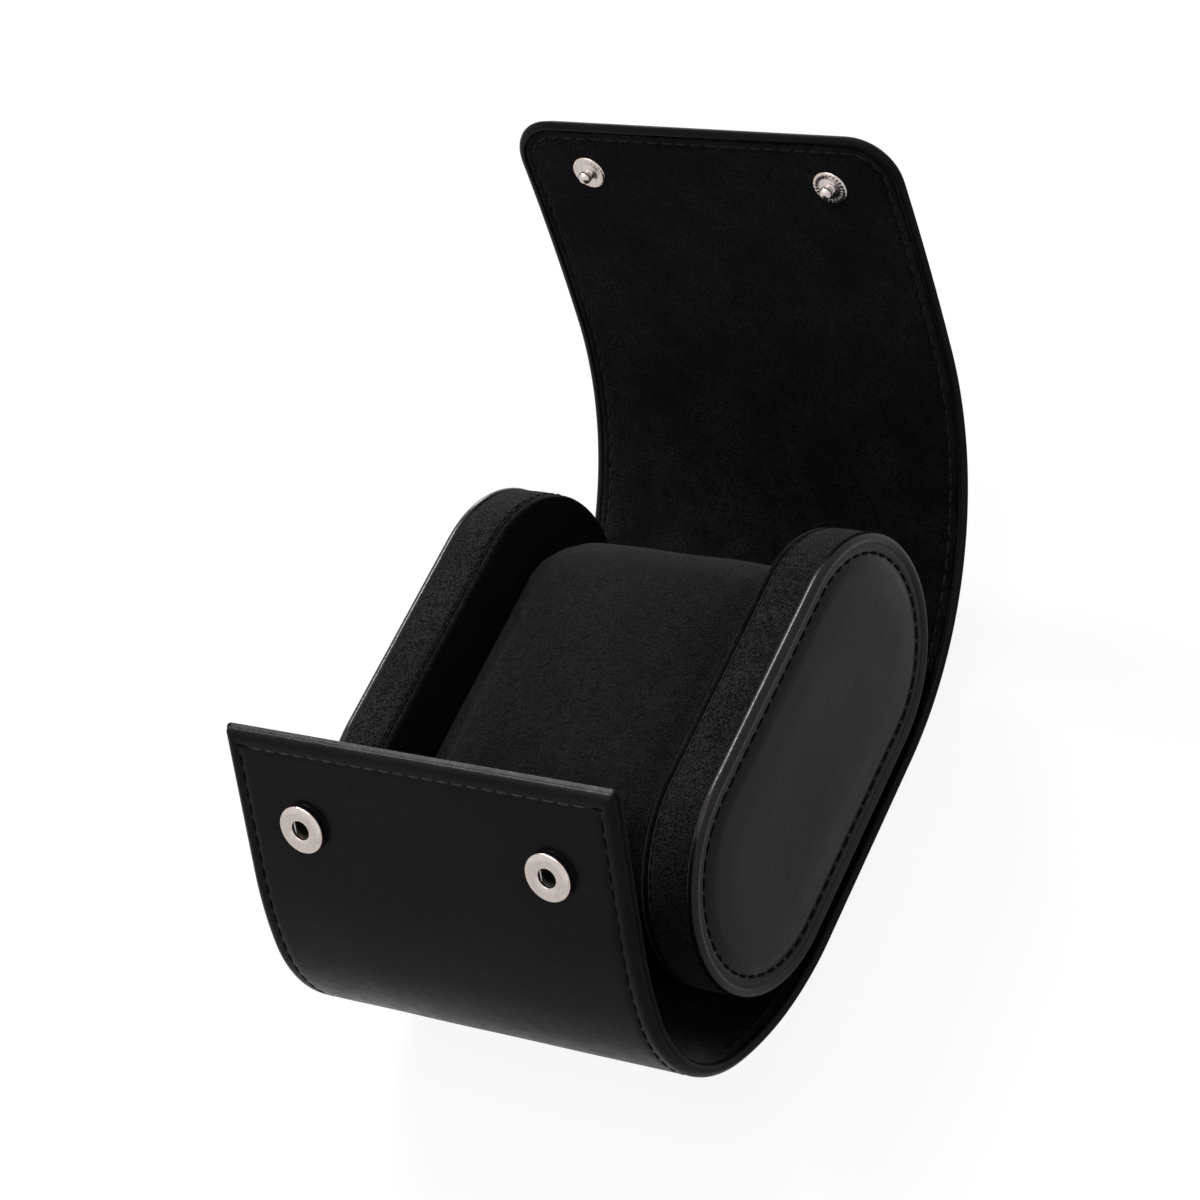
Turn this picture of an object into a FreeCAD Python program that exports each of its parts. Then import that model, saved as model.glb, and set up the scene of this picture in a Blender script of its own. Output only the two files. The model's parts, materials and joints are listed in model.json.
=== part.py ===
import FreeCAD, Part
import math
import os

from FreeCAD import Placement, Rotation, Vector

os.makedirs("parts", exist_ok=True)

# Single watch roll, lying open on the flat back of its wrap. X runs across the wrap,
# +Y points to the lid, +Z to the open side, and the origin is on the outside of the back.

# Wrap: leather turned up round the edges, board or felt inside it, suede lining on top
wrap_width = 88.0
leather_thickness = 1.2
board_thickness = 0.6
lining_thickness = 0.8
turned_edge = 1.6
board_margin = 4.0
strip_gap = 0.3

# Cheeks: the two round-ended sides, which stand on the back
cheek_length = 96.0
cheek_height = 51.0
cheek_thickness = 12.2
cheek_margin = 1.3
wrap_slack = 1.0
piping_diameter = 2.4
band_thickness = 1.2
band_drop = 0.3
inner_panel_thickness = 1.5
inner_panel_edge = 0.5
face_leather_thickness = 1.0
face_border = 2.6
pad_height = 1.5
pad_edge = 0.3
foot_end_gap = 3.5
foot_margin = 2.5

# Lid, along its lining: bending strips, a stiff panel and the front that carries the studs
lid_strips = 5
lid_bend_lead = 3.0
lid_bend_extra = 0.75
lid_bend_radius = 65.4
lid_panel_radius = 450.0
lid_front_length = 30.1
lid_corner_radius = 10.5

# Flap, along its lining: two heel strips, the round turn, the neck and the panel with the sockets
flap_bend_lead = 0.3
flap_heel_length = 16.5
flap_heel_radius = 54.8
flap_turn_degrees = 72.8
flap_neck_length = 16.3
flap_neck_radius = 78.0
flap_panel_lead = 2.0
flap_overlap = 6.0
flap_corner_radius = 1.5
fold_clearance = 0.1

# Pillow
pillow_floor_gap = 5.4
pillow_top_gap = 6.6
pillow_end_gap = 7.5
pillow_side_gap = 0.05
pillow_crown = 0.8
pillow_rounding = 5.0
pillow_cover_thickness = 1.0
pillow_seam_inset = 2.0

# Snaps
snap_from_side = 16.3
snap_clearance = 0.2
socket_from_flap_edge = 18.4
socket_radius = 4.85
socket_height = 1.6
socket_edge = 0.35
socket_waist = 0.6
socket_waist_height = 0.6
socket_hole_radius = 1.95
socket_sheet = 0.3
spring_room = 1.0
spring_wire_radius = 0.25
spring_clearance = 0.25
barrel_radius = 2.1
barrel_wall = 0.4
plate_radius = 4.0
plate_thickness = 0.3
stud_flange_radius = 3.6
stud_flange_height = 0.5
stud_flange_edge = 0.25
stud_cone_radius = 2.0
stud_cone_height = 0.4
stud_neck_radius = 1.0
stud_ball_radius = 1.35
stud_ball_height = 1.75
rivet_radius = 1.2
hole_clearance = 0.1

# Worked out from the sizes above
pocket_depth = board_thickness + lining_thickness
wrap_thickness = leather_thickness + pocket_depth
cheek_radius = cheek_height / 2
cheek_half = cheek_length / 2 - cheek_radius
cheek_centre = wrap_thickness + wrap_slack + cheek_radius
cheek_outside = wrap_width / 2 - cheek_margin
cheek_inside = cheek_outside - cheek_thickness
back_to_lid = cheek_half - lid_bend_lead
back_to_flap = cheek_half - flap_bend_lead
snap_x = wrap_width / 2 - snap_from_side

# Closed, the flap goes round the front ends of the cheeks and the lid round the rear ends.
# The lid then climbs over the edge of the flap and lies level above the sockets.
closed_radius = cheek_radius + wrap_slack
half_turn = math.pi * closed_radius
flap_bend_length = flap_bend_lead + half_turn - flap_panel_lead
flap_turn_length = flap_bend_length - 2 * flap_heel_length - flap_neck_length
flap_turn_radius = flap_turn_length / math.radians(flap_turn_degrees)
flap_panel_length = flap_panel_lead + cheek_half + flap_overlap
lid_strip_length = (half_turn + lid_bend_extra) / lid_strips
climb_height = closed_radius + wrap_thickness + socket_height + stud_flange_height + snap_clearance
climb_run = cheek_half - flap_overlap - fold_clearance
climb_sight = math.hypot(climb_run, climb_height)
climb_angle = math.atan2(climb_height, climb_run) - math.asin(closed_radius / climb_sight)
climb_length = math.sqrt(climb_sight ** 2 - closed_radius ** 2)
lid_fold = cheek_half + closed_radius * (math.pi - climb_angle) + climb_length
lid_panel_length = lid_fold - back_to_lid - lid_strips * lid_strip_length
stud_from_fold = socket_from_flap_edge + fold_clearance


def save(name, shape):
    assert shape.isValid(), name
    shape.exportStep("parts/" + name + ".step")
    print(name, len(shape.Solids), round(shape.Volume, 2))


# Strips of the wrap. A strip starts at a point of the lining, with a heading that turns upwards
# along its length, and its depth runs from the lining's face to the outside.
def run_of_strips(lengths_and_radii, start):
    strips = []
    y, z, heading = start, wrap_thickness, 0.0
    for length, radius in lengths_and_radii:
        strip = {"y": y, "z": z, "heading": heading, "length": length, "radius": radius}
        strips.append(strip)
        y, z = place_on(strip, length, 0.0)
        heading = heading_on(strip, length)
    return strips


def heading_on(strip, along):
    turn = along / strip["radius"] if strip["radius"] else 0.0
    return strip["heading"] + turn


def place_on(strip, along, depth):
    start = strip["heading"]
    end = heading_on(strip, along)
    radius = strip["radius"]
    if not radius:
        y = strip["y"] + along * math.cos(start) + depth * math.sin(start)
        return y, strip["z"] + along * math.sin(start) - depth * math.cos(start)
    y = strip["y"] - radius * math.sin(start) + (radius + depth) * math.sin(end)
    return y, strip["z"] + radius * math.cos(start) - (radius + depth) * math.cos(end)


def point_on(strip, side, x, along, depth):
    y, z = place_on(strip, along, depth)
    return Vector(x, side * y, z)


def block_on(strip, side, width, start, end, top, bottom, corner=0.0):
    x = -width / 2
    inner_start = point_on(strip, side, x, start, top)
    inner_end = point_on(strip, side, x, end, top)
    outer_start = point_on(strip, side, x, start, bottom)
    outer_end = point_on(strip, side, x, end, bottom)
    if strip["radius"]:
        middle = (start + end) / 2
        inner_edge = Part.Arc(inner_start, point_on(strip, side, x, middle, top), inner_end)
        outer_edge = Part.Arc(outer_end, point_on(strip, side, x, middle, bottom), outer_start)
    else:
        inner_edge = Part.LineSegment(inner_start, inner_end)
        outer_edge = Part.LineSegment(outer_end, outer_start)
    end_edge = Part.LineSegment(inner_end, outer_end)
    start_edge = Part.LineSegment(outer_start, inner_start)
    outline = Part.Wire([curve.toShape() for curve in (inner_edge, end_edge, outer_edge, start_edge)])
    block = Part.Face(outline).extrude(Vector(width, 0, 0))
    if corner > 0:
        tip = (inner_end + outer_end) / 2
        block = block.makeFillet(corner, [edge for edge in block.Edges if crosses_tip(edge, tip)])
    return block


def crosses_tip(edge, tip):
    middle = edge.CenterOfMass
    return abs(abs(middle.x) - abs(tip.x)) < 1e-6 and math.hypot(middle.y - tip.y, middle.z - tip.z) < 1e-3


def leather_on(strip, side, free_end=False, corner=0.0):
    end = strip["length"] - (0.0 if free_end else strip_gap / 2)
    sheet = block_on(strip, side, wrap_width, strip_gap / 2, end, 0.0, wrap_thickness, corner)
    pocket_end = strip["length"] - (turned_edge if free_end else 0.0)
    pocket_width = wrap_width - 2 * turned_edge
    pocket_corner = corner - turned_edge
    above = -leather_thickness
    pocket = block_on(strip, side, pocket_width, 0.0, pocket_end, above, pocket_depth, pocket_corner)
    return sheet.cut(pocket)


def layer_on(strip, side, top, bottom, margin, free_end=False, corner=0.0):
    end = strip["length"] - (margin if free_end else strip_gap / 2)
    return block_on(strip, side, wrap_width - 2 * margin, strip_gap / 2, end, top, bottom, corner - margin)


def lining_on(strip, side, free_end=False, corner=0.0):
    return layer_on(strip, side, 0.0, lining_thickness, turned_edge, free_end, corner)


def felted_lining_on(strip, side):
    return layer_on(strip, side, 0.0, pocket_depth, turned_edge)


def board_on(strip, side, free_end=False, corner=0.0):
    return layer_on(strip, side, lining_thickness, pocket_depth, board_margin, free_end, corner)


def back_slab(margin, start_z, end_z, overrun):
    start = -back_to_flap + strip_gap / 2 - overrun
    end = back_to_lid - strip_gap / 2 + overrun
    width = wrap_width - 2 * margin
    return Part.makeBox(width, end - start, end_z - start_z, Vector(-width / 2, start, start_z))


# Snaps, made on their own axis with the face of the wrap at zero height
def turned(points):
    wire = Part.makePolygon([Vector(radius, 0, height) for radius, height in points + points[:1]])
    return Part.Face(wire).revolve(Vector(0, 0, 0), Vector(0, 0, 1), 360)


def snap_places(strip, side, along, depth, outward):
    heading = heading_on(strip, along)
    axis = Vector(0, side * math.sin(heading), -math.cos(heading)) * outward
    turn = Rotation(Vector(0, 0, 1), axis)
    return [Placement(point_on(strip, side, x, along, depth), turn) for x in (-snap_x, snap_x)]


def placed(shape, places):
    copies = []
    for place in places:
        copy = shape.copy()
        copy.Placement = place.multiply(copy.Placement)
        copies.append(copy)
    return Part.makeCompound(copies)


def make_socket(grip):
    bore = barrel_radius - barrel_wall
    waist = socket_radius - socket_waist
    chamber = socket_hole_radius + spring_room
    roof = socket_height - 2 * socket_sheet
    body = turned([
        (bore, 0), (waist, 0), (waist, socket_waist_height),
        (socket_radius, socket_waist_height + socket_sheet),
        (socket_radius, socket_height - socket_edge), (socket_radius - socket_edge, socket_height),
        (socket_hole_radius + socket_sheet, socket_height),
        (socket_hole_radius, socket_height - socket_sheet),
        (socket_hole_radius, roof), (chamber, roof), (chamber, socket_sheet), (bore, socket_sheet),
    ])
    wire_x = stud_ball_radius + spring_clearance + spring_wire_radius
    wire_half = math.sqrt(chamber ** 2 - (wire_x + spring_wire_radius) ** 2) - hole_clearance
    level = (roof + socket_sheet) / 2
    wires = []
    for x in (-wire_x, wire_x):
        start = Vector(x, -wire_half, level)
        wires.append(Part.makeCylinder(spring_wire_radius, 2 * wire_half, start, Vector(0, 1, 0)))
    post = turned([
        (bore, 0), (barrel_radius, 0), (barrel_radius, plate_thickness - grip),
        (plate_radius, plate_thickness - grip), (plate_radius, -grip), (bore, -grip),
    ])
    return body, Part.makeCompound(wires), post


def make_stud(grip):
    cone_top = stud_flange_height + stud_cone_height
    body = turned([
        (0, 0), (stud_flange_radius, 0), (stud_flange_radius, stud_flange_height - stud_flange_edge),
        (stud_flange_radius - stud_flange_edge, stud_flange_height), (stud_cone_radius, stud_flange_height),
        (stud_neck_radius, cone_top), (stud_neck_radius, stud_ball_height), (0, stud_ball_height),
    ])
    body = body.fuse(Part.makeSphere(stud_ball_radius, Vector(0, 0, stud_ball_height)))
    rivet = turned([
        (0, 0), (rivet_radius, 0), (rivet_radius, plate_thickness - grip),
        (plate_radius, plate_thickness - grip), (plate_radius, -grip), (0, -grip),
    ])
    return body, rivet


def snap_seat(post_radius, grip):
    hole = Part.makeCylinder(post_radius + hole_clearance, 2 * grip, Vector(0, 0, -grip))
    plate = Part.makeCylinder(plate_radius + hole_clearance, plate_thickness, Vector(0, 0, -grip))
    return hole.fuse(plate)


# Cheeks and pillow are round-ended shapes, drawn in planes square to X
def round_ended(radius, half, x, centre):
    slant = radius * math.sqrt(0.5)
    edges = []
    for side in (1, -1):
        low = Vector(x, side * half, centre - side * radius)
        end = Vector(x, side * (half + radius), centre)
        high = Vector(x, side * half, centre + side * radius)
        lower = Vector(x, side * (half + slant), centre - side * slant)
        upper = Vector(x, side * (half + slant), centre + side * slant)
        edges.append(Part.Arc(low, lower, end).toShape())
        edges.append(Part.Arc(end, upper, high).toShape())
        edges.append(Part.LineSegment(high, Vector(x, -side * half, centre + side * radius)).toShape())
    return Part.Wire(edges)


def slab(radius, x_from, x_to):
    outline = round_ended(radius, cheek_half, x_from, cheek_centre)
    return Part.Face(outline).extrude(Vector(x_to - x_from, 0, 0))


def round_edges(shape, x, radius):
    edges = [edge for edge in shape.Edges if all(abs(corner.X - x) < 1e-6 for corner in edge.Vertexes)]
    return shape.makeFillet(radius, edges)


def make_cheek(name, side):
    face_base = side * (cheek_outside - piping_diameter)
    panel_start = side * cheek_inside
    panel_end = side * (cheek_inside + inner_panel_thickness)
    band_radius = cheek_radius - band_drop
    face_radius = cheek_radius - piping_diameter
    pad_radius = face_radius - face_border

    panel = slab(band_radius, panel_start, panel_end)
    save(name + "_inner_panel", round_edges(panel, panel_start, inner_panel_thickness - inner_panel_edge))

    core = slab(band_radius - band_thickness, panel_end, face_base)
    save(name + "_core", core)
    save(name + "_band", slab(band_radius, panel_end, face_base).cut(core))

    ring_x = side * (cheek_outside - piping_diameter / 2)
    ring_radius = cheek_radius - piping_diameter / 2
    spine = round_ended(ring_radius, cheek_half, ring_x, cheek_centre)
    start = Vector(ring_x, cheek_half, cheek_centre - ring_radius)
    section = Part.Wire(Part.makeCircle(piping_diameter / 2, start, Vector(0, 1, 0)))
    save(name + "_piping", spine.makePipeShell([section], True, False))

    pad_end = face_base + side * pad_height
    crown_end = pad_end + side * face_leather_thickness
    pad = slab(pad_radius - face_leather_thickness, face_base, pad_end)
    pad = round_edges(pad, pad_end, pad_height - pad_edge)
    save(name + "_pad", pad)
    crown = round_edges(slab(pad_radius, face_base, crown_end), crown_end, pad_height - pad_edge)
    border = slab(face_radius, face_base, face_base + side * face_leather_thickness)
    save(name + "_face", border.fuse(crown).removeSplitter().cut(pad))

    foot_start = side * (cheek_inside + foot_margin)
    foot_width = abs(face_base - foot_start) - foot_margin
    foot_length = 2 * (cheek_half - foot_end_gap)
    foot_corner = Vector(min(foot_start, foot_start + side * foot_width), -foot_length / 2, wrap_thickness)
    save(name + "_foot", Part.makeBox(foot_width, foot_length, wrap_slack + band_drop, foot_corner))


def make_pillow():
    bottom = wrap_thickness + pillow_floor_gap
    top = cheek_centre + cheek_radius - pillow_top_gap
    radius = (top - bottom) / 2
    half = cheek_length / 2 - pillow_end_gap - radius
    centre = (top + bottom) / 2

    def cushion(shrink):
        reach = cheek_inside - pillow_side_gap - shrink
        quarter = pillow_rounding * (1 - math.sqrt(0.5))
        shoulder = reach - pillow_rounding
        stations = [(reach, pillow_rounding), (reach - quarter, quarter), (shoulder, 0.0)]
        stations.append((shoulder / 2, -0.75 * pillow_crown))
        rows = stations + [(0.0, -pillow_crown)] + [(-x, inset) for x, inset in reversed(stations)]
        waist = radius - pillow_crown - shrink
        return Part.makeLoft([round_ended(waist - inset, half, x, centre) for x, inset in rows], True, False)

    core = cushion(pillow_cover_thickness)
    skin = cushion(0.0).cut(core)
    room = 2 * cheek_length
    seam = cheek_inside - pillow_rounding - pillow_seam_inset
    sleeve = Part.makeBox(2 * seam, room, room, Vector(-seam, -room / 2, centre - room / 2))
    save("pillow_core", core)
    save("pillow_cover", skin.common(sleeve))
    for name, start_x in (("pillow_left_end", -seam - room), ("pillow_right_end", seam)):
        end = Part.makeBox(room, room, room, Vector(start_x, -room / 2, centre - room / 2))
        save(name, skin.common(end))


# Back of the wrap
back_pocket = back_slab(turned_edge, leather_thickness, 2 * wrap_thickness, strip_gap)
save("back_leather", back_slab(0.0, 0.0, wrap_thickness, 0.0).cut(back_pocket))
save("back_board", back_slab(board_margin, leather_thickness, leather_thickness + board_thickness, 0.0))
save("back_lining", back_slab(turned_edge, leather_thickness + board_thickness, wrap_thickness, 0.0))

# Lid
lid_row = [(lid_strip_length, lid_bend_radius)] * lid_strips
lid_row += [(lid_panel_length, lid_panel_radius), (lid_front_length, lid_panel_radius)]
lid = run_of_strips(lid_row, back_to_lid)
for number, strip in enumerate(lid[:lid_strips], 1):
    save("lid_strip_%d_leather" % number, leather_on(strip, 1))
    save("lid_strip_%d_lining" % number, felted_lining_on(strip, 1))
lid_panel, lid_front = lid[lid_strips:]
save("lid_panel_leather", leather_on(lid_panel, 1))
save("lid_panel_board", board_on(lid_panel, 1))
save("lid_panel_lining", lining_on(lid_panel, 1))

stud, stud_rivet = make_stud(pocket_depth)
stud_places = snap_places(lid_front, 1, stud_from_fold, 0.0, -1)
stud_seats = placed(snap_seat(rivet_radius, pocket_depth), stud_places)
studs = placed(stud, stud_places)
stud_rivets = placed(stud_rivet, stud_places)
save("lid_front_leather", leather_on(lid_front, 1, True, lid_corner_radius).cut(stud_rivets))
save("lid_front_board", board_on(lid_front, 1, True, lid_corner_radius).cut(stud_seats))
save("lid_front_lining", lining_on(lid_front, 1, True, lid_corner_radius).cut(stud_seats).cut(studs))
save("lid_studs", studs)
save("lid_stud_rivets", stud_rivets)

# Flap
flap_row = [(flap_heel_length, flap_heel_radius)] * 2
flap_row += [(flap_turn_length, flap_turn_radius), (flap_neck_length, flap_neck_radius)]
flap_row += [(flap_panel_length, None)]
flap = run_of_strips(flap_row, back_to_flap)
for number, strip in enumerate(flap[:-1], 1):
    save("flap_strip_%d_leather" % number, leather_on(strip, -1))
    save("flap_strip_%d_lining" % number, felted_lining_on(strip, -1))
flap_panel = flap[-1]
socket_grip = leather_thickness + board_thickness
socket, socket_spring, socket_post = make_socket(socket_grip)
socket_along = flap_panel_length - socket_from_flap_edge
socket_places = snap_places(flap_panel, -1, socket_along, wrap_thickness, 1)
socket_seats = placed(snap_seat(barrel_radius, socket_grip), socket_places)
save("flap_panel_leather", leather_on(flap_panel, -1, True, flap_corner_radius).cut(socket_seats))
save("flap_panel_board", board_on(flap_panel, -1, True).cut(socket_seats))
save("flap_panel_lining", lining_on(flap_panel, -1, True))
save("flap_sockets", placed(socket, socket_places))
save("flap_socket_springs", placed(socket_spring, socket_places))
save("flap_socket_posts", placed(socket_post, socket_places))

# Cheeks and pillow
make_cheek("left_cheek", -1)
make_cheek("right_cheek", 1)
make_pillow()


# Where each strip bends on the one before it, at the lining's face, and how far it turns to close
def print_folds(name, strips, start, last_heading):
    along = start
    turn_before = 0.0
    for strip in strips:
        middle = strip["length"] / 2
        wrapped = min(max(0.0, along + middle - cheek_half) / closed_radius, last_heading)
        heading = math.pi if strip is strips[-1] else wrapped
        turn = heading - heading_on(strip, middle)
        fold = [strip["y"], strip["z"], math.degrees(turn - turn_before)]
        print(name, "fold at y, z, closing by degrees:", *[round(value, 4) for value in fold])
        along += strip["length"]
        turn_before = turn


print_folds("lid", lid, back_to_lid, math.pi - climb_angle)
print_folds("flap", flap, back_to_flap, math.pi)
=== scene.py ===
import json
import math

import bmesh
import bpy
from mathutils import Matrix, Vector, noise


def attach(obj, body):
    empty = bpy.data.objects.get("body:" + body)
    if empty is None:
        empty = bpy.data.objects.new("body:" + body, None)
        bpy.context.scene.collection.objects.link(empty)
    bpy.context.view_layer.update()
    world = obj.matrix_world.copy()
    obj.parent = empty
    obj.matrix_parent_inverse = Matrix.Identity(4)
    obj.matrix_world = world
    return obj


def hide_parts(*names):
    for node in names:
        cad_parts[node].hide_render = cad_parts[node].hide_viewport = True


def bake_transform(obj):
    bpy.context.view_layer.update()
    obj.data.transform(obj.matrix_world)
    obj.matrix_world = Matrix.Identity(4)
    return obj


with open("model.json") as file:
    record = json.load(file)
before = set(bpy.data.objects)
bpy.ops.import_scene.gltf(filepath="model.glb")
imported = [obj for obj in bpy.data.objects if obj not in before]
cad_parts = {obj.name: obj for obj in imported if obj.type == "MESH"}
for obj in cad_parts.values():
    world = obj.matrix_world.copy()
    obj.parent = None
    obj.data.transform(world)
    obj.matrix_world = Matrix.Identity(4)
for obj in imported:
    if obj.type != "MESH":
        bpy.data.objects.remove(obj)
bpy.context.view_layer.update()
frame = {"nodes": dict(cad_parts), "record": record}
mm = 0.001

# The wrap's path along its lining, in millimetres from the middle of the back
wrapPath = {
    "halfWidth": 44.0,
    "thick": 2.6,
    "closedRadius": 26.5,   # lining round the cheeks' ends when shut
    "backToLid": 19.5,
    "backToFlap": 22.2,
    "lidStrips": 5,
    "lidBendExtra": 0.75,
    "lidBendRadius": 65.4,
    "lidPanel": 19.284,
    "lidFront": 30.1,
    "lidPanelRadius": 450.0,
    "lidCorner": 10.5,
    "flapHeel": 16.5,
    "flapHeelRadius": 54.8,
    "flapTurnDegrees": 72.8,
    "flapStraights": 51.0,  # heels, neck and leads taken off the half turn
    "flapNeck": 16.3,
    "flapNeckRadius": 78.0,
    "flapPanel": 30.5,
    "flapCorner": 1.5,
}


def makeRuns(size):
    halfTurn = math.pi * size["closedRadius"]
    lidStrip = (halfTurn + size["lidBendExtra"]) / size["lidStrips"]
    lidRun = [(lidStrip, size["lidBendRadius"])] * size["lidStrips"]
    lidRun += [(size["lidPanel"], size["lidPanelRadius"]), (size["lidFront"], size["lidPanelRadius"])]
    turn = halfTurn - size["flapStraights"]
    flapRun = [(size["flapHeel"], size["flapHeelRadius"])] * 2
    flapRun += [(turn, turn / math.radians(size["flapTurnDegrees"]))]
    flapRun += [(size["flapNeck"], size["flapNeckRadius"]), (size["flapPanel"], None)]
    return {1: (size["backToLid"], lidRun), -1: (size["backToFlap"], flapRun)}


def makeStrips(start, run, thick):
    strips = []
    y, z, heading, along = start, thick, 0.0, start
    for length, radius in run:
        strips.append((along, y, z, heading, radius))
        if radius:
            after = heading + length / radius
            y += radius * (math.sin(after) - math.sin(heading))
            z += radius * (math.cos(heading) - math.cos(after))
            heading = after
        else:
            y += length * math.cos(heading)
            z += length * math.sin(heading)
        along += length
    return strips, along


wrapStrips = {}
wrapEnd = {}
for runSide, (runStart, runRows) in makeRuns(wrapPath).items():
    wrapStrips[runSide], wrapEnd[runSide] = makeStrips(runStart, runRows, wrapPath["thick"])


def wrapHeading(side, along):
    heading = 0.0
    for start, y, z, first, radius in wrapStrips[side]:
        if along >= start:
            heading = first + ((along - start) / radius if radius else 0.0)
    return heading


def wrapPoint(side, x, along, depth):
    y, z = along, wrapPath["thick"] - depth
    for start, y0, z0, first, radius in wrapStrips[side]:
        if along < start:
            break
        step = along - start
        if radius:
            after = first + step / radius
            y = y0 - radius * math.sin(first) + (radius + depth) * math.sin(after)
            z = z0 + radius * math.cos(first) - (radius + depth) * math.cos(after)
        else:
            y = y0 + step * math.cos(first) + depth * math.sin(first)
            z = z0 + step * math.sin(first) - depth * math.cos(first)
    return Vector((x, side * y, z)) * mm


# Bodies along the wrap, with the place along the lining where each one starts
lidStarts = [row[0] for row in wrapStrips[1]]
flapStarts = [row[0] for row in wrapStrips[-1]]
stripBodies = 4             # on each side
lidChain = [("base", 0.0)] + [("lid_strip_%d" % (k + 1), lidStarts[k]) for k in range(stripBodies)]
lidChain += [("lid_panel", lidStarts[stripBodies]), ("lid_front", lidStarts[-1])]
flapChain = [("base", 0.0)] + [("flap_strip_%d" % (k + 1), flapStarts[k]) for k in range(stripBodies)]
flapChain += [("flap_panel", flapStarts[stripBodies])]
print("wrap path: lid", round(wrapEnd[1], 1), "mm, flap", round(wrapEnd[-1], 1), "mm")


# Mesh helpers
def addObject(name, mesh, material, smooth=True):
    piece = bpy.data.objects.new(name, mesh)
    bpy.context.scene.collection.objects.link(piece)
    mesh.materials.clear()
    mesh.materials.append(material)
    if smooth:
        mesh.polygons.foreach_set("use_smooth", [True] * len(mesh.polygons))
    return piece


def finishMesh(name, bm, mergeAt=2e-6):
    bmesh.ops.remove_doubles(bm, verts=bm.verts, dist=mergeAt)
    bmesh.ops.dissolve_degenerate(bm, edges=bm.edges, dist=1e-7)
    bmesh.ops.recalc_face_normals(bm, faces=bm.faces)
    mesh = bpy.data.meshes.new(name)
    bm.to_mesh(mesh)
    bm.free()
    return mesh


def addGrid(bm, rows, closedRows=False, closedColumns=False):
    grid = [[bm.verts.new(point) for point in row] for row in rows]
    rowPairs = list(zip(grid, grid[1:] + grid[:1])) if closedRows else list(zip(grid, grid[1:]))
    for first, second in rowPairs:
        count = len(first) if closedColumns else len(first) - 1
        for k in range(count):
            n = (k + 1) % len(first)
            bm.faces.new((first[k], first[n], second[n], second[k]))
    return grid


def smoothStep(value, low, high):
    t = min(1.0, max(0.0, (value - low) / (high - low)))
    return t * t * (3 - 2 * t)


def bell(value, centre, width):
    return math.exp(-((value - centre) / width) ** 2)


def ripple(x, along, size, seed):
    return noise.noise(Vector((x / size, along / size, seed)))


# Materials
def newMaterial(name):
    material = bpy.data.materials.new(name)
    material.use_nodes = True
    tree = material.node_tree
    place = tree.nodes.new("ShaderNodeTexCoord").outputs["Object"]
    return material, tree, tree.nodes["Principled BSDF"], place


def addNoise(tree, place, scale, detail=3.0, roughness=0.55):
    node = tree.nodes.new("ShaderNodeTexNoise")
    node.inputs["Scale"].default_value = scale
    node.inputs["Detail"].default_value = detail
    node.inputs["Roughness"].default_value = roughness
    tree.links.new(place, node.inputs["Vector"])
    return node.outputs["Fac"]


def addCells(tree, place, scale, smoothness=0.6):
    node = tree.nodes.new("ShaderNodeTexVoronoi")
    node.feature = "SMOOTH_F1"
    node.inputs["Scale"].default_value = scale
    node.inputs["Smoothness"].default_value = smoothness
    tree.links.new(place, node.inputs["Vector"])
    return node.outputs["Distance"]


noiseRange = (0.3, 0.7)     # most of the noise lies between these


def addRamp(tree, value, low, high, first, second):
    ramp = tree.nodes.new("ShaderNodeValToRGB")
    ramp.color_ramp.elements[0].position = low
    ramp.color_ramp.elements[1].position = high
    ramp.color_ramp.elements[0].color = (*first, 1.0)
    ramp.color_ramp.elements[1].color = (*second, 1.0)
    tree.links.new(value, ramp.inputs["Fac"])
    return ramp.outputs["Color"]


def addRange(tree, value, low, high):
    node = tree.nodes.new("ShaderNodeMapRange")
    node.inputs["From Min"].default_value = noiseRange[0]
    node.inputs["From Max"].default_value = noiseRange[1]
    node.inputs["To Min"].default_value = low
    node.inputs["To Max"].default_value = high
    tree.links.new(value, node.inputs["Value"])
    return node.outputs["Result"]


def addBump(tree, height, distance, strength=1.0, before=None):
    node = tree.nodes.new("ShaderNodeBump")
    node.inputs["Distance"].default_value = distance
    node.inputs["Strength"].default_value = strength
    tree.links.new(height, node.inputs["Height"])
    if before:
        tree.links.new(before, node.inputs["Normal"])
    return node.outputs["Normal"]


leatherLook = {
    "dark": (0.0042, 0.004, 0.0041),
    "light": (0.0082, 0.0077, 0.0079),
    "roughLow": 0.27,
    "roughHigh": 0.38,
    "shine": 0.078,
    "shineTint": (1.0, 0.91, 0.94),
    "tone": 55.0,          # scales per metre, depths in metres
    "gloss": 400.0,
    "grain": 1500.0,
    "grainDepth": 0.00003,
    "pore": 3900.0,
    "poreDepth": 0.000015,
    "fold": 90.0,
    "foldDepth": 0.0003,
}


def makeLeather(name, look):
    material, tree, shader, place = newMaterial(name)
    tone = addNoise(tree, place, look["tone"], detail=4.0)
    tree.links.new(addRamp(tree, tone, *noiseRange, look["dark"], look["light"]), shader.inputs["Base Color"])
    gloss = addNoise(tree, place, look["gloss"], detail=4.0)
    tree.links.new(addRange(tree, gloss, look["roughLow"], look["roughHigh"]), shader.inputs["Roughness"])
    fold = addNoise(tree, place, look["fold"], detail=3.0)
    soft = addBump(tree, fold, look["foldDepth"], strength=0.5)
    pore = addNoise(tree, place, look["pore"], detail=2.0)
    pores = addBump(tree, pore, look["poreDepth"], strength=0.5, before=soft)
    cells = addCells(tree, place, look["grain"])
    grain = addBump(tree, cells, look["grainDepth"], strength=0.8, before=pores)
    tree.links.new(grain, shader.inputs["Normal"])
    shader.inputs["Specular IOR Level"].default_value = look["shine"]
    shader.inputs["Specular Tint"].default_value = (*look["shineTint"], 1.0)
    return material


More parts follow.
